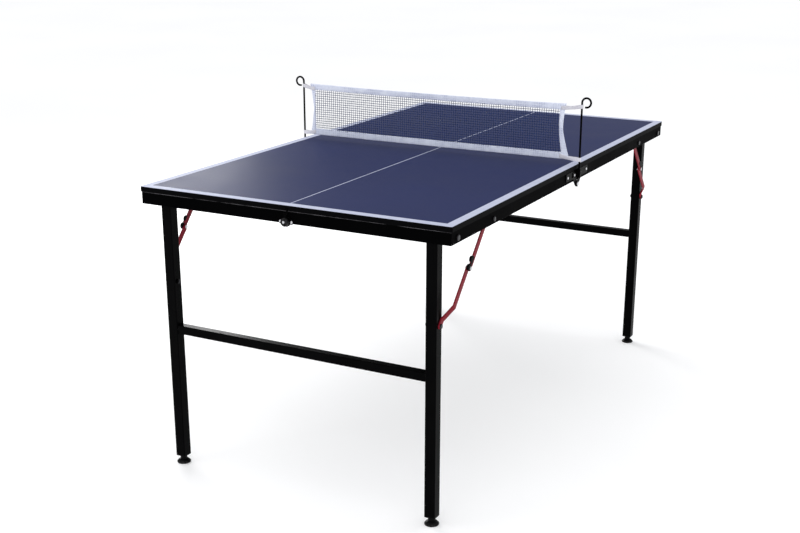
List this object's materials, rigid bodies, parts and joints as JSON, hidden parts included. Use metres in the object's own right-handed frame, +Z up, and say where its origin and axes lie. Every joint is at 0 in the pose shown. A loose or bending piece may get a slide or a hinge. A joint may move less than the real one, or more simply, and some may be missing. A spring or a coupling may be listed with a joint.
{
  "type": "folding ping pong table",
  "caption": "Compact table tennis table: two hinged navy halves on folding black legs with red struts, lift-out net on wire posts and an end latch.",
  "frame": {"origin": "on the floor under the middle of the table, where the seam crosses the centre line", "axes": "+X along the table towards the keeper end, +Y across it, +Z up"},
  "size_m": [1.392, 0.8198, 0.8244],
  "materials": {
    "blue_table_top": "satin navy paint on fibreboard, white lines, black edges",
    "black_apron": "satin black paint",
    "black_steel": "satin black powder coat",
    "red_strut": "red powder coat",
    "bright_fastener": "bright zinc",
    "dark_fastener": "glossy black zinc",
    "foot_plastic": "glossy black",
    "black_lock": "black with a bright rivet",
    "latch_chrome": "dark chrome",
    "latch_black": "black",
    "net_cord": "white nylon netting",
    "net_webbing": "white woven webbing"
  },
  "bodies": {
    "tray_a": {"top_panel_a": "blue_table_top", "end_rail_a": "black_apron", "side_rail_a_left": "black_apron", "side_rail_a_right": "black_apron", "mid_rail_a": "black_apron", "corner_brackets_a": "black_steel", "hinge_plates_a": "black_steel", "hinge_pins": "bright_fastener", "net_sockets": "black_steel", "plate_screws_a": "bright_fastener", "rail_bolts_a": "dark_fastener", "latch_plate": "latch_black"},
    "tray_b": {"top_panel_b": "blue_table_top", "end_rail_b": "black_apron", "side_rail_b_left": "black_apron", "side_rail_b_right": "black_apron", "mid_rail_b": "black_apron", "corner_brackets_b": "black_steel", "hinge_plates_b": "black_steel", "plate_screws_b": "bright_fastener", "rail_bolts_b": "dark_fastener", "latch_keeper": "latch_black"},
    "latch": {"latch_knob": "latch_chrome", "latch_tongue": "latch_black"},
    "net": {"net_mesh": "net_cord", "net_tapes": "net_webbing", "net_post_left": "black_steel", "net_post_right": "black_steel"},
    "leg_frame_a": {"leg_a_left": "black_steel", "leg_a_right": "black_steel", "crossbar_a": "black_steel", "pivot_sleeves_a": "black_steel", "foot_inserts_a": "foot_plastic", "leg_bolts_a": "dark_fastener"},
    "strut_upper_a_left": {"upper_link_a_left": "red_strut", "strut_lock_a_left": "black_lock"},
    "strut_lower_a_left": {"lower_link_a_left": "red_strut", "link_bolt_a_left": "dark_fastener"},
    "foot_a_left": {"foot_a_left": "foot_plastic"},
    "strut_upper_a_right": {"upper_link_a_right": "red_strut", "strut_lock_a_right": "black_lock"},
    "strut_lower_a_right": {"lower_link_a_right": "red_strut", "link_bolt_a_right": "dark_fastener"},
    "foot_a_right": {"foot_a_right": "foot_plastic"},
    "leg_frame_b": {"leg_b_left": "black_steel", "leg_b_right": "black_steel", "crossbar_b": "black_steel", "pivot_sleeves_b": "black_steel", "foot_inserts_b": "foot_plastic", "leg_bolts_b": "dark_fastener"},
    "strut_upper_b_left": {"upper_link_b_left": "red_strut", "strut_lock_b_left": "black_lock"},
    "strut_lower_b_left": {"lower_link_b_left": "red_strut", "link_bolt_b_left": "dark_fastener"},
    "foot_b_left": {"foot_b_left": "foot_plastic"},
    "strut_upper_b_right": {"upper_link_b_right": "red_strut", "strut_lock_b_right": "black_lock"},
    "strut_lower_b_right": {"lower_link_b_right": "red_strut", "link_bolt_b_right": "dark_fastener"},
    "foot_b_right": {"foot_b_right": "foot_plastic"}
  },
  "joints": [
    {"name": "middle_fold", "type": "hinge", "parent": "tray_a", "child": "tray_b", "pos_m": [0, 0, 0.6175], "axis": [0, 1, 0], "range_deg": [0, 80]},
    {"name": "latch_turn", "type": "hinge", "parent": "tray_a", "child": "latch", "pos_m": [-0.689, 0, 0.63], "axis": [-1, 0, 0], "range_deg": [0, 180]},
    {"name": "net_lift", "type": "slide", "parent": "tray_a", "child": "net", "axis": [0, 0, 1], "range_m": [0, 0.06]},
    {"name": "leg_fold_a", "type": "hinge", "parent": "tray_a", "child": "leg_frame_a", "pos_m": [-0.654, 0, 0.6365], "axis": [0, -1, 0], "range_deg": [0, 90]},
    {"name": "strut_upper_turn_a_left", "type": "hinge", "parent": "tray_a", "child": "strut_upper_a_left", "pos_m": [-0.4815, 0.3631, 0.6365], "axis": [0, 1, 0], "range_deg": [0, 50]},
    {"name": "strut_lower_turn_a_left", "type": "hinge", "parent": "strut_upper_a_left", "child": "strut_lower_a_left", "pos_m": [-0.56219, 0.3631, 0.54809], "axis": [0, -1, 0], "range_deg": [0, 181]},
    {"name": "foot_screw_a_left", "type": "slide", "parent": "leg_frame_a", "child": "foot_a_left", "axis": [0, 0, -1], "range_m": [0, 0.006]},
    {"name": "strut_upper_turn_a_right", "type": "hinge", "parent": "tray_a", "child": "strut_upper_a_right", "pos_m": [-0.4815, -0.3631, 0.6365], "axis": [0, 1, 0], "range_deg": [0, 50]},
    {"name": "strut_lower_turn_a_right", "type": "hinge", "parent": "strut_upper_a_right", "child": "strut_lower_a_right", "pos_m": [-0.56219, -0.3631, 0.54809], "axis": [0, -1, 0], "range_deg": [0, 181]},
    {"name": "foot_screw_a_right", "type": "slide", "parent": "leg_frame_a", "child": "foot_a_right", "axis": [0, 0, -1], "range_m": [0, 0.006]},
    {"name": "leg_fold_b", "type": "hinge", "parent": "tray_b", "child": "leg_frame_b", "pos_m": [0.654, 0, 0.6365], "axis": [0, 1, 0], "range_deg": [0, 90]},
    {"name": "strut_upper_turn_b_left", "type": "hinge", "parent": "tray_b", "child": "strut_upper_b_left", "pos_m": [0.4815, 0.3631, 0.6365], "axis": [0, -1, 0], "range_deg": [0, 50]},
    {"name": "strut_lower_turn_b_left", "type": "hinge", "parent": "strut_upper_b_left", "child": "strut_lower_b_left", "pos_m": [0.56219, 0.3631, 0.54809], "axis": [0, 1, 0], "range_deg": [0, 181]},
    {"name": "foot_screw_b_left", "type": "slide", "parent": "leg_frame_b", "child": "foot_b_left", "axis": [0, 0, -1], "range_m": [0, 0.006]},
    {"name": "strut_upper_turn_b_right", "type": "hinge", "parent": "tray_b", "child": "strut_upper_b_right", "pos_m": [0.4815, -0.3631, 0.6365], "axis": [0, -1, 0], "range_deg": [0, 50]},
    {"name": "strut_lower_turn_b_right", "type": "hinge", "parent": "strut_upper_b_right", "child": "strut_lower_b_right", "pos_m": [0.56219, -0.3631, 0.54809], "axis": [0, 1, 0], "range_deg": [0, 181]},
    {"name": "foot_screw_b_right", "type": "slide", "parent": "leg_frame_b", "child": "foot_b_right", "axis": [0, 0, -1], "range_m": [0, 0.006]}
  ],
  "couplings": [
    {"joint": "strut_upper_turn_a_left", "follows": "leg_fold_a", "ratio": 0.52904},
    {"joint": "strut_lower_turn_a_left", "follows": "leg_fold_a", "ratio": 2},
    {"joint": "strut_upper_turn_a_right", "follows": "leg_fold_a", "ratio": 0.52904},
    {"joint": "strut_lower_turn_a_right", "follows": "leg_fold_a", "ratio": 2},
    {"joint": "strut_upper_turn_b_left", "follows": "leg_fold_b", "ratio": 0.52904},
    {"joint": "strut_lower_turn_b_left", "follows": "leg_fold_b", "ratio": 2},
    {"joint": "strut_upper_turn_b_right", "follows": "leg_fold_b", "ratio": 0.52904},
    {"joint": "strut_lower_turn_b_right", "follows": "leg_fold_b", "ratio": 2}
  ]
}
